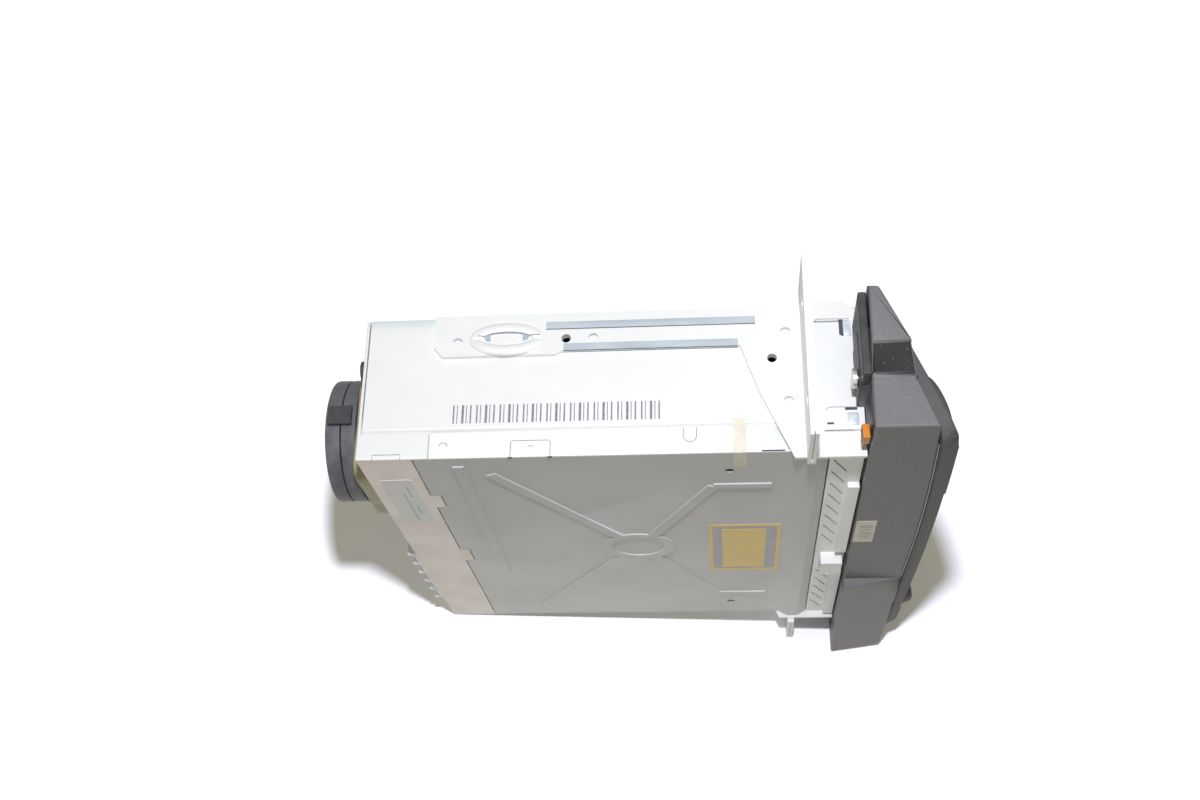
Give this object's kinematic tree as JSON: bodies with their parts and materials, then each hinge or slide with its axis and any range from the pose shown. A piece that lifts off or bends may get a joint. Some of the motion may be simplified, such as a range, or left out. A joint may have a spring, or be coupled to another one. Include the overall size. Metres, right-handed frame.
{
  "type": "car navigation cd radio",
  "caption": "Car navigation and CD radio: sheet-metal case with a ribbed cover, slot-loading drive, rear blower, side brackets with ears, and a bowed, leaning fascia with knobs and keys.",
  "frame": {"origin": "centre of the flat underside of the case, on the outer face of the chassis tray's floor", "axes": "+X forward, out of the dashboard; +Y downwards in the car, out of the underside; +Z towards the unit's right side, which looks up as it stands in the picture"},
  "size_m": [0.2193, 0.069, 0.237],
  "materials": {
    "zinc_sheet": "bright zinc plating with bluish bends",
    "cover_sheet": "dull grey sheet steel",
    "strip_sheet": "warm grey sheet steel",
    "alloy": "cast or drawn, satin",
    "black_plastic": "matt black",
    "slate_plastic": "fine-grained dark slate grey",
    "cream_plastic": "plain cream",
    "board": "green lacquered circuit board",
    "rubber": "matt black",
    "bright_steel": "bright",
    "orange_plastic": "plain orange"
  },
  "bodies": {
    "unit": {"chassis_tray": "zinc_sheet", "top_cover": "cover_sheet", "rear_panel": "strip_sheet", "heat_sink": "alloy", "main_connector": "black_plastic", "radio_antenna_socket": "black_plastic", "gps_antenna_socket": "black_plastic", "blower_mount": "cream_plastic", "blower_front_half": "black_plastic", "blower_rear_half": "black_plastic", "blower_latch": "black_plastic", "blower_motor": "alloy", "main_board": "board", "amplifier_chip": "black_plastic", "navigation_module": "bright_steel", "drive_deck": "zinc_sheet", "damper_1": "rubber", "damper_2": "rubber", "damper_3": "rubber", "damper_4": "rubber", "spindle_motor": "alloy", "guide_rod_rear": "bright_steel", "guide_rod_front": "bright_steel", "sled_motor": "alloy", "loading_motor": "alloy", "disc_guide": "black_plastic", "front_frame": "zinc_sheet", "right_bracket": "zinc_sheet", "left_bracket": "zinc_sheet", "fascia_shell": "slate_plastic", "front_panel": "slate_plastic", "switch_board": "board", "volume_encoder": "alloy", "tune_encoder": "alloy", "carrier_frame": "black_plastic", "fascia_screw_right": "bright_steel", "fascia_screw_left": "bright_steel", "lock_tab": "orange_plastic", "front_flex": "cream_plastic"},
    "impeller_body": {"impeller": "black_plastic"},
    "turntable_body": {"turntable": "black_plastic"},
    "arm_body": {"clamp_arm": "zinc_sheet"},
    "puck_body": {"clamp_puck": "cream_plastic"},
    "sled_body": {"laser_sled": "black_plastic"},
    "screw_body": {"lead_screw": "bright_steel"},
    "roller_body": {"loading_roller": "rubber"},
    "volume_shaft_body": {"volume_shaft": "bright_steel"},
    "volume_knob_body": {"volume_knob": "black_plastic"},
    "tune_knob_body": {"tune_knob": "black_plastic"},
    "preset_1_body": {"preset_1": "black_plastic"},
    "preset_2_body": {"preset_2": "black_plastic"},
    "preset_3_body": {"preset_3": "black_plastic"},
    "preset_4_body": {"preset_4": "black_plastic"},
    "preset_5_body": {"preset_5": "black_plastic"},
    "preset_6_body": {"preset_6": "black_plastic"},
    "mode_body": {"mode_button": "black_plastic"},
    "band_body": {"band_button": "black_plastic"},
    "eject_body": {"eject_button": "black_plastic"},
    "seek_body": {"seek_rocker": "black_plastic"}
  },
  "joints": [
    {"name": "impeller_spin", "type": "hinge", "parent": "unit", "child": "impeller_body", "pos_m": [-0.084, -0.0256, 0.046], "axis": [1, 0, 0], "continuous": true},
    {"name": "turntable_spin", "type": "hinge", "parent": "unit", "child": "turntable_body", "pos_m": [0, -0.0371, 0], "axis": [0, 1, 0], "continuous": true},
    {"name": "clamp_arm_lift", "type": "hinge", "parent": "unit", "child": "arm_body", "pos_m": [-0.061, -0.0448, 0], "axis": [0, 0, -1], "range_deg": [0, 2.5], "stiffness_Nm_per_rad": 0.5},
    {"name": "clamp_puck_spin", "type": "hinge", "parent": "arm_body", "child": "puck_body", "pos_m": [0, -0.0437, 0], "axis": [0, 1, 0], "continuous": true},
    {"name": "sled_slide", "type": "slide", "parent": "unit", "child": "sled_body", "axis": [0, 0, 1], "range_m": [0, 0.034]},
    {"name": "lead_screw_turn", "type": "hinge", "parent": "unit", "child": "screw_body", "pos_m": [0.025, -0.0311, 0.0445], "axis": [0, 0, 1], "range_deg": [0, 4085]},
    {"name": "loading_roller_spin", "type": "hinge", "parent": "unit", "child": "roller_body", "pos_m": [0.07, -0.0339, 0], "axis": [0, 0, 1], "continuous": true},
    {"name": "volume_push", "type": "slide", "parent": "unit", "child": "volume_shaft_body", "axis": [-0.9252, -0.3795, 0], "range_m": [0, 0.0008], "stiffness_N_per_m": 900},
    {"name": "volume_turn", "type": "hinge", "parent": "volume_shaft_body", "child": "volume_knob_body", "pos_m": [0.1144, -0.03773, -0.092], "axis": [0.9252, 0.3795, 0], "continuous": true},
    {"name": "tune_turn", "type": "hinge", "parent": "unit", "child": "tune_knob_body", "pos_m": [0.1144, -0.03773, 0.092], "axis": [0.9252, 0.3795, 0], "continuous": true},
    {"name": "preset_1_press", "type": "slide", "parent": "unit", "child": "preset_1_body", "axis": [-0.9252, -0.3795, 0], "range_m": [0, 0.0006], "stiffness_N_per_m": 600},
    {"name": "preset_2_press", "type": "slide", "parent": "unit", "child": "preset_2_body", "axis": [-0.9252, -0.3795, 0], "range_m": [0, 0.0006], "stiffness_N_per_m": 600},
    {"name": "preset_3_press", "type": "slide", "parent": "unit", "child": "preset_3_body", "axis": [-0.9252, -0.3795, 0], "range_m": [0, 0.0006], "stiffness_N_per_m": 600},
    {"name": "preset_4_press", "type": "slide", "parent": "unit", "child": "preset_4_body", "axis": [-0.9252, -0.3795, 0], "range_m": [0, 0.0006], "stiffness_N_per_m": 600},
    {"name": "preset_5_press", "type": "slide", "parent": "unit", "child": "preset_5_body", "axis": [-0.9252, -0.3795, 0], "range_m": [0, 0.0006], "stiffness_N_per_m": 600},
    {"name": "preset_6_press", "type": "slide", "parent": "unit", "child": "preset_6_body", "axis": [-0.9252, -0.3795, 0], "range_m": [0, 0.0006], "stiffness_N_per_m": 600},
    {"name": "mode_press", "type": "slide", "parent": "unit", "child": "mode_body", "axis": [-0.9252, -0.3795, 0], "range_m": [0, 0.0006], "stiffness_N_per_m": 600},
    {"name": "band_press", "type": "slide", "parent": "unit", "child": "band_body", "axis": [-0.9252, -0.3795, 0], "range_m": [0, 0.0006], "stiffness_N_per_m": 600},
    {"name": "eject_press", "type": "slide", "parent": "unit", "child": "eject_body", "axis": [-0.9252, -0.3795, 0], "range_m": [0, 0.0006], "stiffness_N_per_m": 600},
    {"name": "seek_rock", "type": "hinge", "parent": "unit", "child": "seek_body", "pos_m": [0.10538, -0.02208, 0], "axis": [-0.3795, 0.9252, 0], "range_deg": [-3, 3], "stiffness_Nm_per_rad": 0.15}
  ],
  "couplings": [
    {"joint": "lead_screw_turn", "follows": "sled_slide", "rad_per_m": 2094.4}
  ]
}
